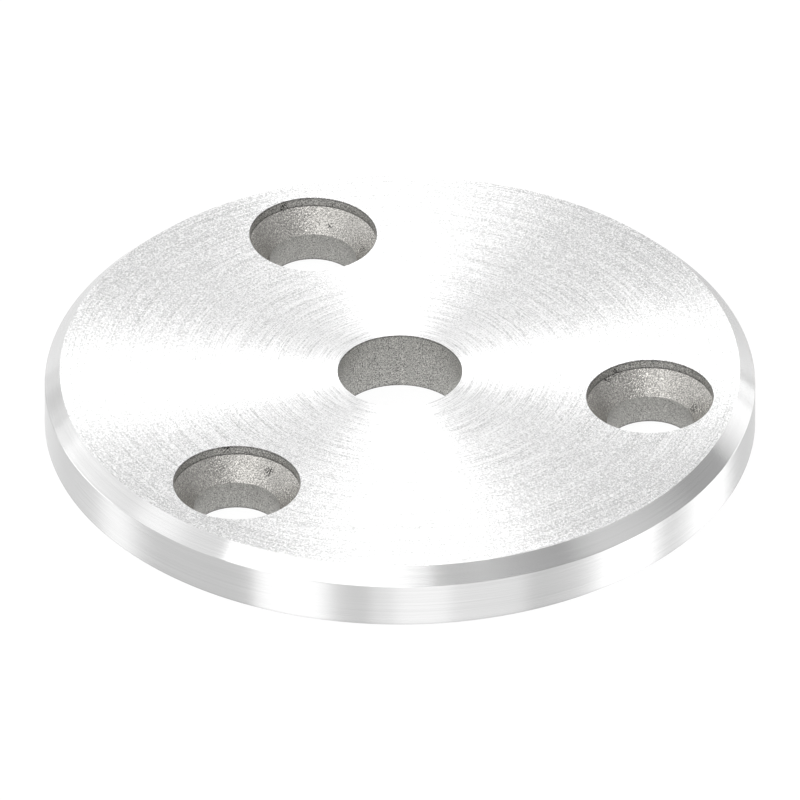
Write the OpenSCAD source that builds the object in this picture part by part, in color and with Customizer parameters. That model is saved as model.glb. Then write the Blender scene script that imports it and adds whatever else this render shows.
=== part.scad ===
// Mounting disc, turned in one piece from ground steel plate.
// The top edge has a 45 degree chamfer. A plain bore runs through the middle, and screw
// holes lie evenly on a circle round it. Each screw hole has a straight recess at the top,
// a countersink below it and a plain hole down to the underside.
// The origin is the middle of the underside, the first screw hole lies on +X, and +Z is up.

/* [Plate] */
// Outer diameter
disc_d = 70; // [68:1:120]
// Thickness, from the underside to the top face
disc_t = 6; // [5:0.5:12]
// Width and height of the chamfer round the top edge
top_chamfer = 1.5; // [0.5:0.1:2]
// Width and height of the edge break that deburring leaves on every other edge
edge_break = 0.05; // [0.05:0.05:0.3]

/* [Centre bore] */
// Diameter of the bore in the middle
bore_d = 12.2; // [6:0.1:20]

/* [Screw holes] */
// Number of screw holes
hole_count = 3; // [2:1:6]
// Diameter of the circle that the screw holes lie on
pitch_d = 50; // [36:0.5:52]
// Diameter of the plain hole that the screw's shank goes through
hole_d = 8.5; // [4:0.1:11]
// Diameter of the countersink at its top, and of the recess above it
sink_d = 12.5; // [10:0.1:15]
// Included angle of the countersink
sink_angle = 90; // [75:1:120]
// Depth of the straight recess above the countersink
recess_depth = 1; // [0.4:0.1:2]

/* [Hidden] */

disc_r = disc_d / 2;
face_r = disc_r - top_chamfer;
chamfer_foot_z = disc_t - top_chamfer;

bore_r = bore_d / 2;
hole_r = hole_d / 2;
sink_r = sink_d / 2;
sink_depth = (sink_r - hole_r) / tan(sink_angle / 2);
sink_top_z = disc_t - recess_depth;
sink_foot_z = sink_top_z - sink_depth;

// How far a cutting tool runs past the face that it leaves through
tool_overrun = 1;

// Half of the plate's section, with the bore left open.
module plate_section() {
    polygon([
        [bore_r + edge_break, 0],
        [disc_r - edge_break, 0],
        [disc_r, edge_break],
        [disc_r, chamfer_foot_z],
        [face_r, disc_t],
        [bore_r + edge_break, disc_t],
        [bore_r, disc_t - edge_break],
        [bore_r, edge_break],
    ]);
}

// The turned plate, before the screw holes are drilled.
module plate() {
    rotate_extrude($fn = 180)
        plate_section();
}

// Half of the stepped tool that makes one screw hole, from below the underside to above
// the top face. It cuts the edge breaks too, so both ends flare at 45 degrees.
module screw_hole_section() {
    flare = edge_break + tool_overrun;
    polygon([
        [0, -tool_overrun],
        [hole_r + flare, -tool_overrun],
        [hole_r, edge_break],
        [hole_r, sink_foot_z],
        [sink_r, sink_top_z],
        [sink_r, disc_t - edge_break],
        [sink_r + flare, disc_t + tool_overrun],
        [0, disc_t + tool_overrun],
    ]);
}

module screw_hole() {
    rotate_extrude($fn = 90)
        screw_hole_section();
}

// Repeats what it is given round the pitch circle, starting on +X.
module on_pitch_circle() {
    for (i = [0 : hole_count - 1])
        rotate([0, 0, i * 360 / hole_count])
            translate([pitch_d / 2, 0, 0])
                children();
}

module disc() {
    color([0.8, 0.8, 0.79])
        difference() {
            plate();
            on_pitch_circle() screw_hole();
        }
}

disc();
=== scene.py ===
import math

import bmesh
import bpy
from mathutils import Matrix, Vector


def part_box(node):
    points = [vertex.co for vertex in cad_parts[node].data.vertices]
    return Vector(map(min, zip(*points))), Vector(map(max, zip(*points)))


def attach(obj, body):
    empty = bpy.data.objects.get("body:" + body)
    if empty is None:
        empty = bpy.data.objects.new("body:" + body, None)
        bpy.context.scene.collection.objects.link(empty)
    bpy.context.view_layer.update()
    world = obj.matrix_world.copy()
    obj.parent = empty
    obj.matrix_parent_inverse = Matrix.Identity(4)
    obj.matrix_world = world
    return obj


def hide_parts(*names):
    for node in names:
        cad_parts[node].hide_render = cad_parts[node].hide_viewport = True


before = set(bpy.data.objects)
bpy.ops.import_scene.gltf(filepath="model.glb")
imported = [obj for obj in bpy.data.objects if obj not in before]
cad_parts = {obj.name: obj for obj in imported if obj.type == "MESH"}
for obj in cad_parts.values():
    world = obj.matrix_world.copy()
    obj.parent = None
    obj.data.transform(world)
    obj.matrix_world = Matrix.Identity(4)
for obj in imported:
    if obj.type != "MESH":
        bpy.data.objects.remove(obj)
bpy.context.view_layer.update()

MM = 0.001

# The disc's own sizes, as in its CAD source
DISC_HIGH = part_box("disc")[1]
OUTER_RADIUS = DISC_HIGH.x
TOP_Z = DISC_HIGH.z
CHAMFER = 1.5 * MM
EDGE_BREAK = 0.05 * MM
BORE_RADIUS = 6.1 * MM
PITCH_RADIUS = 25 * MM
HOLE_RADIUS = 4.25 * MM
SINK_RADIUS = 6.25 * MM
RECESS_DEPTH = 1 * MM
SINK_DEPTH = SINK_RADIUS - HOLE_RADIUS
HOLE_ANGLES = (0, 120, 240)

# How finely the round faces are divided
OUTER_STEPS = 720
BORE_STEPS = 360
HOLE_STEPS = 240
RIDGE_STEPS = 2

# Points closer than this are one point, and lie at one height
SAME_POINT = EDGE_BREAK / 50
SAME_HEIGHT = EDGE_BREAK / 10
CREASE_ANGLE = math.radians(8)

# The camera stands ten degrees to the right of the front and looks down by 35 degrees
CAMERA_AZIMUTH = math.radians(10)
CAMERA_ELEVATION = math.radians(35)
CAMERA_DISTANCE = 0.5
CAMERA_CLIP = (0.01, 20)
IMAGE_WIDTH = 800
PIXELS_PER_METRE = 10153

# Where the middle of the top face lies from the middle of the picture
TOP_CENTRE_RIGHT_PIXELS = -0.06
TOP_CENTRE_UP_PIXELS = 28.95

# The room's even light from above the disc's level and from below it
ROOM_LIGHT = 0.42
LOW_ROOM_LIGHT = 0.69
HORIZON_BLEND = 0.02
LAMP_DISTANCE = 2.0

# Soft boxes: name, azimuth and elevation of the middle, width and height in degrees, brightness.
# Azimuth 0 is the camera's right and 90 is straight behind the disc. With the room's light the
# backdrop comes to a white of 1, which the top face mirrors.
SOFT_BOXES = (
    ("backdrop", 105, 46, 60, 87, 1 - ROOM_LIGHT),
    ("overhead", 85, 85, 23, 65, 1.48),
    ("back_right", 64, 18, 17, 25, 3.2),
    ("back_left", 113, 25, 49, 27, 1.06),
    ("front_left", 243, 40, 52, 33, 1.3),
    ("high_front_right", 335, 73, 22, 14, 2.51),
    ("left", 175, 23, 70, 58, 0.51),
    ("high_left", 183, 34, 12, 20, 0.3),
    ("left_fill", 155, -3, 14, 35, 0.81),
    ("right", 37, -2, 20, 35, 0.95),
    ("right_fill", 50, -5, 5, 34, 0.75),
    ("high_right", -2, 42, 34, 17, 0.41),
    ("low_back", 105, -21, 40, 98, 0.2),
    ("low_left", 167, -14, 16, 62, 0.63),
    ("low_front_left", 235, -32, 21, 87, 0.69),
    ("low_front", 286, -8, 47, 89, 0.28),
    ("low_front_spot", 277, -11, 16, 46, 0.42),
    ("low_right", 348, -30, 22, 63, 0.86),
    ("low_back_right", 29, -61, 25, 77, 0.9),
)

# The white paper that the disc lies on
FLOOR_SIZE = 6
FLOOR_GAP = 0.02 * MM
FLOOR_GLOW = 0.93
FLOOR_COLOUR = (0.1, 0.1, 0.1, 1)
PAPER_RADIUS = 34 * MM
PAPER_STEPS = 180
WHITE = (1, 1, 1, 1)

# The material slots of the disc's mesh, in the order of its materials
FACE, CHAMFER_BAND, RIM, RECESS, COUNTERSINK, DRILLED, BORE, UNDERSIDE, FOOT = range(9)

# Colours of the bare metal, and the darker colour of the edge break at the rim's foot, which is
# painted shade
FACE_COLOUR = (0.81, 0.81, 0.81)
TURNED_COLOUR = (0.8, 0.8, 0.8)
PAINTED_FOOT_COLOUR = (0.35, 0.35, 0.35)

# Where the face's lines pass into sand, and where its tone falls off, in mm from the axis
LINES_TO_SAND = (6, 24)
BORE_TO_EDGE = (6, 34)

# The share by which a grain of sand is at most darker or lighter than the face
DARKEST_SAND = -0.19
LIGHTEST_SAND = 0.4

# The band above the foot over which the rim's painted shade fades to its full tone, in mm
PAINTED_FOOT_SHADE = (0.1, 0.25)

# The band beside an edge of a drilled wall over which its painted shade fades to the wall's full
# tone, in mm
PAINTED_EDGE_SHADE = (0.08, 0.24)

# How far a drilled wall is metal, where the drill tore it and left it partly matt
TORN_METAL = 0.85

# Dark nicks that the drill left, in mm: the screw hole's angle, the nick's angle round that
# hole, its height and its size
NICKS = (
    (120, 128, 5.4, 0.6),
    (120, 80, 3.75, 0.35),
    (120, 19, 3.65, 0.45),
    (0, 133, 5.2, 0.6),
    (0, 143, 4.9, 0.45),
    (0, 30, 3.4, 0.6),
    (240, 109, 5.95, 0.6),
    (240, 65, 4.2, 0.6),
)


# Camera, lamps and floor

def direction(azimuth, elevation):
    """The way to a point at this azimuth, anticlockwise from +X, and elevation, in radians."""
    return Vector((
        math.cos(azimuth) * math.cos(elevation),
        math.sin(azimuth) * math.cos(elevation),
        math.sin(elevation),
    ))


def place(name, data):
    """A new object with this data, in the scene."""
    item = bpy.data.objects.new(name, data)
    bpy.context.scene.collection.objects.link(item)
    return item


def make_camera():
    """A parallel view with the middle of the top face a little above the picture's middle."""
    back = direction(CAMERA_AZIMUTH - math.pi / 2, CAMERA_ELEVATION)
    turn = back.to_track_quat("Z", "Y")
    aim = Vector((0, 0, TOP_Z))
    aim -= turn @ Vector((TOP_CENTRE_RIGHT_PIXELS, TOP_CENTRE_UP_PIXELS, 0)) / PIXELS_PER_METRE
    data = bpy.data.cameras.new("camera")
    data.type = "ORTHO"
    data.ortho_scale = IMAGE_WIDTH / PIXELS_PER_METRE
    data.clip_start, data.clip_end = CAMERA_CLIP
    camera = place("camera", data)
    camera.location = aim + back * CAMERA_DISTANCE
    camera.rotation_mode = "QUATERNION"
    camera.rotation_quaternion = turn
    bpy.context.scene.camera = camera


def soft_box(name, azimuth, elevation, width, height, brightness):
    """A rectangular lamp that faces the disc and fills these angles as seen from it."""
    away = direction(math.radians(azimuth) + CAMERA_AZIMUTH, math.radians(elevation))
    data = bpy.data.lights.new(name, "AREA")
    data.shape = "RECTANGLE"
    data.size = 2 * LAMP_DISTANCE * math.tan(math.radians(width) / 2)
    data.size_y = 2 * LAMP_DISTANCE * math.tan(math.radians(height) / 2)
    data.energy = brightness * math.pi * data.size * data.size_y
    lamp = place(name, data)
    lamp.location = away * LAMP_DISTANCE
    lamp.rotation_mode = "QUATERNION"
    lamp.rotation_quaternion = away.to_track_quat("Z", "Y")
    lamp.visible_camera = False


def background_rays(tree):
    """1 for a ray that shows the background itself, and 0 for any other ray."""
    path = node(tree, "ShaderNodeLightPath")
    return maths(tree, "MAXIMUM", path.outputs["Is Camera Ray"], path.outputs["Is Transmission Ray"])


def make_world():
    """The even light of a pale room, lighter below the disc's level, and white for the camera."""
    world = bpy.data.worlds.new("studio")
    bpy.context.scene.world = world
    world.use_nodes = True
    tree = world.node_tree
    tree.nodes.clear()
    way = node(tree, "ShaderNodeTexCoord").outputs["Generated"]
    height = node(tree, "ShaderNodeSeparateXYZ", Vector=way).outputs["Z"]
    level = ramp(tree, height, -HORIZON_BLEND, HORIZON_BLEND, LOW_ROOM_LIGHT, ROOM_LIGHT)
    room = node(tree, "ShaderNodeBackground", Color=WHITE, Strength=level)
    backdrop = node(tree, "ShaderNodeBackground", Color=WHITE, Strength=1.0)
    mix = node(tree, "ShaderNodeMixShader", Fac=background_rays(tree))
    tree.links.new(room.outputs[0], mix.inputs[1])
    tree.links.new(backdrop.outputs[0], mix.inputs[2])
    node(tree, "ShaderNodeOutputWorld", Surface=mix.outputs[0])


def white_paper():
    """White paper that glows for the camera and in mirrored rays, and still takes a shadow."""
    material = bpy.data.materials.new("white_paper")
    material.use_nodes = True
    tree = material.node_tree
    tree.nodes.clear()
    path = node(tree, "ShaderNodeLightPath")
    seen = maths(tree, "MAXIMUM", background_rays(tree), path.outputs["Is Glossy Ray"])
    strength = maths(tree, "MULTIPLY", seen, FLOOR_GLOW)
    glow = node(tree, "ShaderNodeEmission", Color=WHITE, Strength=strength)
    matt = node(tree, "ShaderNodeBsdfDiffuse", Color=FLOOR_COLOUR)
    both = node(tree, "ShaderNodeAddShader")
    tree.links.new(matt.outputs[0], both.inputs[0])
    tree.links.new(glow.outputs[0], both.inputs[1])
    node(tree, "ShaderNodeOutputMaterial", Surface=both.outputs[0])
    return material


def make_floor():
    """The floor round the disc, and the paper under it that the holes' walls mirror.

    The rim mirrors the low soft boxes, so the floor round it stays out of mirrored rays.
    """
    paper = white_paper()
    bm = bmesh.new()
    bmesh.ops.create_grid(bm, x_segments=1, y_segments=1, size=FLOOR_SIZE / 2)
    floor = stage_piece("floor", bm, paper, -2 * FLOOR_GAP)
    floor.visible_glossy = False
    floor.visible_shadow = False
    bm = bmesh.new()
    bmesh.ops.create_circle(bm, cap_ends=True, segments=PAPER_STEPS, radius=PAPER_RADIUS)
    stage_piece("paper_under_disc", bm, paper, -FLOOR_GAP)


def stage_piece(name, bm, material, height):
    """A piece of the setting from this bmesh, at this height."""
    mesh = bpy.data.meshes.new(name)
    bm.to_mesh(mesh)
    bm.free()
    mesh.materials.append(material)
    piece = place(name, mesh)
    piece.location.z = height
    return piece


# The disc's shape

def spin_section(bm, points, axis_x, axis_y, steps, slot):
    """Spins a line of points, each a radius and a height, round an upright axis."""
    line = [bm.verts.new((axis_x + radius, axis_y, z)) for radius, z in points]
    edges = [bm.edges.new(pair) for pair in zip(line, line[1:])]
    before = set(bm.faces)
    bmesh.ops.spin(
        bm,
        geom=line + edges,
        cent=(axis_x, axis_y, 0),
        axis=(0, 0, 1),
        angle=2 * math.pi,
        steps=steps,
        use_merge=True,
    )
    wall = [face for face in bm.faces if face not in before]
    for face in wall:
        face.material_index = slot
    return wall


def at_height(edge, z):
    """Whether this edge lies flat at this height."""
    return all(abs(vert.co.z - z) < SAME_HEIGHT for vert in edge.verts)


def outer_wall(bm):
    """The chamfer, the rim and the edge break below it, with the ridge between them eased."""
    ridge_z = TOP_Z - CHAMFER
    section = (
        (OUTER_RADIUS - CHAMFER, TOP_Z),
        (OUTER_RADIUS, ridge_z),
        (OUTER_RADIUS, EDGE_BREAK),
        (OUTER_RADIUS - EDGE_BREAK, 0),
    )
    for face in spin_section(bm, section, 0, 0, OUTER_STEPS, RIM):
        height = face.calc_center_median().z
        if height > ridge_z:
            face.material_index = CHAMFER_BAND
        elif height < EDGE_BREAK:
            face.material_index = FOOT
    bmesh.ops.bevel(
        bm,
        geom=[edge for edge in bm.edges if at_height(edge, ridge_z)],
        offset=EDGE_BREAK,
        segments=RIDGE_STEPS,
        profile=0.5,
        affect="EDGES",
        material=-1,
    )


def bore_wall(bm):
    """The wall of the centre bore with an edge break at each end."""
    section = (
        (BORE_RADIUS + EDGE_BREAK, TOP_Z),
        (BORE_RADIUS, TOP_Z - EDGE_BREAK),
        (BORE_RADIUS, EDGE_BREAK),
        (BORE_RADIUS + EDGE_BREAK, 0),
    )
    spin_section(bm, section, 0, 0, BORE_STEPS, BORE)


def screw_hole_wall(bm, angle):
    """The wall of the screw hole at this angle: recess, countersink and plain hole."""
    sink_top = TOP_Z - RECESS_DEPTH
    sink_foot = sink_top - SINK_DEPTH
    section = (
        (SINK_RADIUS + EDGE_BREAK, TOP_Z),
        (SINK_RADIUS, TOP_Z - EDGE_BREAK),
        (SINK_RADIUS, sink_top),
        (HOLE_RADIUS, sink_foot),
        (HOLE_RADIUS, EDGE_BREAK),
        (HOLE_RADIUS + EDGE_BREAK, 0),
    )
    x = PITCH_RADIUS * math.cos(math.radians(angle))
    y = PITCH_RADIUS * math.sin(math.radians(angle))
    for face in spin_section(bm, section, x, y, HOLE_STEPS, DRILLED):
        height = face.calc_center_median().z
        if height > sink_top:
            face.material_index = RECESS
        elif height > sink_foot:
            face.material_index = COUNTERSINK


def fill_level(bm, z, slot):
    """Fills the flat face at this height, between the rings that end there.

    On the top face the fill leaves two stray triangles at the bore's edge, too thin to see.
    """
    rings = [edge for edge in bm.edges if edge.is_boundary and at_height(edge, z)]
    made = bmesh.ops.triangle_fill(bm, edges=rings, use_beauty=True)
    for item in made["geom"]:
        if isinstance(item, bmesh.types.BMFace):
            item.material_index = slot


def make_disc():
    """The whole disc as one mesh, in place of the CAD node: the same form with its ridge eased."""
    bm = bmesh.new()
    outer_wall(bm)
    bore_wall(bm)
    for angle in HOLE_ANGLES:
        screw_hole_wall(bm, angle)
    bmesh.ops.remove_doubles(bm, verts=bm.verts, dist=SAME_POINT)
    fill_level(bm, TOP_Z, FACE)
    fill_level(bm, 0, UNDERSIDE)
    bmesh.ops.recalc_face_normals(bm, faces=bm.faces)
    for face in bm.faces:
        face.smooth = True
    for edge in bm.edges:
        edge.smooth = edge.calc_face_angle(0) < CREASE_ANGLE
    mesh = bpy.data.meshes.new("disc_body")
    bm.to_mesh(mesh)
    bm.free()
    piece = place("disc_body", mesh)
    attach(piece, "root")
    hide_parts("disc")
    return piece


# Material nodes

def node(tree, kind, **inputs):
    """A new node. Each input is a value or another node's output."""
    made = tree.nodes.new(kind)
    for key, value in inputs.items():
        connect(tree, value, made.inputs[key.replace("_", " ")])
    return made


def connect(tree, value, socket):
    """Links a node's output to the socket, or sets the socket to a plain value."""
    if isinstance(value, bpy.types.NodeSocket):
        tree.links.new(value, socket)
    else:
        socket.default_value = value


def maths(tree, operation, *values):
    """The result of a Math node on these values."""
    made = tree.nodes.new("ShaderNodeMath")
    made.operation = operation
    for value, socket in zip(values, made.inputs):
        connect(tree, value, socket)
    return made.outputs[0]


def vector_maths(tree, operation, first, second=None, scale=None):
    """The result of a Vector Math node: a vector, or a number for LENGTH and DISTANCE."""
    made = tree.nodes.new("ShaderNodeVectorMath")
    made.operation = operation
    connect(tree, first, made.inputs[0])
    if second is not None:
        connect(tree, second, made.inputs[1])
    if scale is not None:
        connect(tree, scale, made.inputs["Scale"])
    return made.outputs["Value" if operation in ("LENGTH", "DISTANCE") else "Vector"]


def ramp(tree, value, low, high, at_low, at_high):
    """A value that goes from at_low to at_high while the input goes from low to high."""
    made = node(tree, "ShaderNodeMapRange", Value=value, From_Min=low, From_Max=high,
                To_Min=at_low, To_Max=at_high)
    return made.outputs[0]


def noise(tree, vector, scale=1.0, detail=0.0):
    """Noise about zero, mostly between -0.5 and 0.5."""
    made = node(tree, "ShaderNodeTexNoise", Vector=vector, Scale=scale, Detail=detail)
    return maths(tree, "SUBTRACT", made.outputs[0], 0.5)


def grains(tree, vector, scale):
    """Small flat grains, one over the scale wide, each with its own value from -0.5 to 0.5."""
    cells = node(tree, "ShaderNodeTexVoronoi", Vector=vector, Scale=scale)
    value = node(tree, "ShaderNodeSeparateColor", Color=cells.outputs["Color"])
    return maths(tree, "SUBTRACT", value.outputs[0], 0.5)


def point_in_mm(tree):
    """The shaded point, in mm from the middle of the underside."""
    coordinates = node(tree, "ShaderNodeTexCoord")
    return vector_maths(tree, "SCALE", coordinates.outputs["Object"], scale=1 / MM)


def round_axis(tree, point):
    """The point's distance from the disc's axis, in mm, and its way out from the axis."""
    flat = vector_maths(tree, "MULTIPLY", point, (1, 1, 0))
    return vector_maths(tree, "LENGTH", flat), vector_maths(tree, "NORMALIZE", flat)


def height_of(tree, point):
    """The height of this point above the underside, in mm."""
    return node(tree, "ShaderNodeSeparateXYZ", Vector=point).outputs["Z"]


def turned_lines(tree, outwards, across, width, length, detail=0.0):
    """Fine lines that run round the axis, a width apart in mm, and as long as this angle."""
    round_the_axis = vector_maths(tree, "SCALE", outwards, scale=1 / math.radians(length))
    up = node(tree, "ShaderNodeCombineXYZ", Z=maths(tree, "DIVIDE", across, width))
    return noise(tree, vector_maths(tree, "ADD", round_the_axis, up.outputs[0]), detail=detail)


# Materials

def metal(name, colour, roughness, anisotropic=0.0):
    """A metal material and its shader. Where it is anisotropic, its lines run round the axis."""
    material = bpy.data.materials.new(name)
    material.use_nodes = True
    tree = material.node_tree
    shader = tree.nodes["Principled BSDF"]
    shader.inputs["Metallic"].default_value = 1
    shader.inputs["Base Color"].default_value = (*colour, 1)
    shader.inputs["Roughness"].default_value = roughness
    if anisotropic:
        shader.inputs["Anisotropic"].default_value = anisotropic
        shader.inputs["Anisotropic Rotation"].default_value = 0.25
        tangent = node(tree, "ShaderNodeTangent")
        tangent.direction_type = "RADIAL"
        tangent.axis = "Z"
        connect(tree, tangent.outputs[0], shader.inputs["Tangent"])
    return material, tree, shader


def tint(tree, shader, colour, shade):
    """Sets the shader's colour to this colour times the shade."""
    scaled = vector_maths(tree, "SCALE", colour, scale=shade)
    connect(tree, scaled, shader.inputs["Base Color"])


def relief(tree, shader, height, depth):
    """Gives the surface a relief by this height, whose full range is the depth in mm."""
    bump = node(tree, "ShaderNodeBump", Height=height, Distance=depth * MM)
    connect(tree, bump.outputs[0], shader.inputs["Normal"])


def uneven_roughness(tree, shader, roughness, lines, change):
    """Makes the roughness go up and down with the lines."""
    value = maths(tree, "MULTIPLY_ADD", lines, change, roughness)
    connect(tree, value, shader.inputs["Roughness"])


def ground_face(name, strength):
    """The ground face: long turning lines near the bore that pass into sandy grain outside."""
    material, tree, shader = metal(name, FACE_COLOUR, roughness=0.4, anisotropic=1.0)
    point = point_in_mm(tree)
    radius, outwards = round_axis(tree, point)
    lines = turned_lines(tree, outwards, radius, width=0.1, length=25, detail=1.0)
    line_strength = ramp(tree, radius, *LINES_TO_SAND, 1.12 * strength, 0.75 * strength)
    sand_strength = ramp(tree, radius, *LINES_TO_SAND, 0.26 * strength, 1.15 * strength)
    sand = maths(tree, "MULTIPLY", grains(tree, point, scale=11.0), sand_strength)
    sand = ramp(tree, sand, DARKEST_SAND, LIGHTEST_SAND, DARKEST_SAND, LIGHTEST_SAND)
    marks = maths(tree, "MULTIPLY_ADD", lines, line_strength, sand)
    fall = ramp(tree, radius, *BORE_TO_EDGE, 1.085, 0.875)
    tint(tree, shader, FACE_COLOUR, maths(tree, "MULTIPLY_ADD", marks, fall, fall))
    relief(tree, shader, marks, depth=0.001)
    return material


def turned_chamfer():
    """The chamfer: smooth, with lines too fine to tell apart."""
    material, tree, shader = metal("turned_chamfer", TURNED_COLOUR, roughness=0.2, anisotropic=0.9)
    radius, outwards = round_axis(tree, point_in_mm(tree))
    lines = turned_lines(tree, outwards, radius, width=0.08, length=30, detail=1.0)
    tint(tree, shader, TURNED_COLOUR, maths(tree, "MULTIPLY_ADD", lines, 0.14, 1.0))
    uneven_roughness(tree, shader, 0.2, lines, 0.012)
    return material


def brushed_rim():
    """The rim: level brushed lines all round, and painted shade in a thin band at its foot."""
    material, tree, shader = metal("brushed_rim", TURNED_COLOUR, roughness=0.25, anisotropic=0.9)
    point = point_in_mm(tree)
    outwards = round_axis(tree, point)[1]
    height = height_of(tree, point)
    lines = turned_lines(tree, outwards, height, width=0.1, length=30, detail=1.0)
    # Painted shade: the rim's colour is darker in the band at its foot, for the shadow where it
    # meets the paper
    foot = ramp(tree, height, *PAINTED_FOOT_SHADE, 0.87, 1)
    tint(tree, shader, TURNED_COLOUR, maths(tree, "MULTIPLY_ADD", lines, 0.18, foot))
    uneven_roughness(tree, shader, 0.25, lines, 0.06)
    return material


def foot_edge():
    """The narrow edge break at the rim's foot: dull, painted dark as shade, with fine lines all
    round.
    """
    # Painted shade: the edge break's colour is much darker than the rim's, for the shadow where the
    # rim meets the paper
    material, tree, shader = metal("foot_edge", PAINTED_FOOT_COLOUR, roughness=0.5)
    radius, outwards = round_axis(tree, point_in_mm(tree))
    lines = turned_lines(tree, outwards, radius, width=0.03, length=30)
    tint(tree, shader, PAINTED_FOOT_COLOUR, maths(tree, "MULTIPLY_ADD", lines, 0.3, 1.0))
    return material


def nick_shade(tree, point, specks):
    """1 on clean metal, and darker specks where one of the nicks is."""
    depth = 0.0
    for hole_angle, angle, height, size in NICKS:
        sink = SINK_RADIUS / MM - max(0, (TOP_Z - RECESS_DEPTH) / MM - height)
        x = PITCH_RADIUS / MM * math.cos(math.radians(hole_angle))
        y = PITCH_RADIUS / MM * math.sin(math.radians(hole_angle))
        x += sink * math.cos(math.radians(angle))
        y += sink * math.sin(math.radians(angle))
        away = vector_maths(tree, "DISTANCE", point, (x, y, height))
        depth = maths(tree, "ADD", ramp(tree, away, 0.5 * size, size, 1, 0), depth)
    pits = ramp(tree, specks, -0.05, 0.05, 0.9, 0)
    return maths(tree, "SUBTRACT", 1, maths(tree, "MULTIPLY", pits, depth))


def drilled_metal(name, colour, roughness, grain, speckle, bump, edges):
    """The rough, slightly warm wall of a drilled hole, with specks, nicks and painted shade along
    its edges.

    The specks are one over the grain wide, in mm. Each of the edges is a height in mm, and shade is
    painted into the metal's colour close to it.
    """
    material, tree, shader = metal(name, colour, roughness)
    shader.inputs["Metallic"].default_value = TORN_METAL
    point = point_in_mm(tree)
    specks = noise(tree, point, grain)
    patches = maths(tree, "MULTIPLY", noise(tree, point, scale=0.8, detail=2.0), 0.15)
    marks = maths(tree, "MULTIPLY_ADD", specks, speckle, patches)
    nicks = nick_shade(tree, point, specks)
    shade = maths(tree, "MULTIPLY", maths(tree, "ADD", marks, 1.0), nicks)
    height = height_of(tree, point)
    # Painted shade: the wall's colour is darkened in a thin band beside each edge
    for edge in edges:
        gap = maths(tree, "ABSOLUTE", maths(tree, "SUBTRACT", height, edge))
        shade = maths(tree, "MULTIPLY", shade, ramp(tree, gap, *PAINTED_EDGE_SHADE, 0.5, 1))
    tint(tree, shader, colour, shade)
    relief(tree, shader, specks, bump)
    return material


def recess_wall():
    """The straight wall at the top of a screw hole, with painted shade along its two edges."""
    return drilled_metal("recess_wall", (0.51, 0.504, 0.489), roughness=0.5, grain=9,
                         speckle=2.8, bump=0.01, edges=(5, 6))


def countersink_wall():
    """The cone of a screw hole: smoother and more uneven, so that its highlight breaks up."""
    return drilled_metal("countersink_wall", (0.504, 0.492, 0.467), roughness=0.26, grain=7.5,
                         speckle=1.5, bump=0.044, edges=())


def hole_wall():
    """The plain wall of a screw hole, with painted shade along its foot."""
    return drilled_metal("hole_wall", (0.42, 0.415, 0.397), roughness=0.5, grain=9,
                         speckle=1.7, bump=0.01, edges=(0,))


def bore_metal():
    """The wall of the centre bore, with painted shade along both ends."""
    return drilled_metal("bore_wall", (0.445, 0.44, 0.421), roughness=0.5, grain=9.5,
                         speckle=2.4, bump=0.01, edges=(0, 6))


bpy.context.scene.view_settings.view_transform = "Standard"
make_camera()
make_world()
make_floor()
for box in SOFT_BOXES:
    soft_box(*box)

disc = make_disc()
for material in (
    ground_face("ground_face", strength=1.0),
    turned_chamfer(),
    brushed_rim(),
    recess_wall(),
    countersink_wall(),
    hole_wall(),
    bore_metal(),
    ground_face("ground_underside", strength=0.6),
    foot_edge(),
):
    disc.data.materials.append(material)
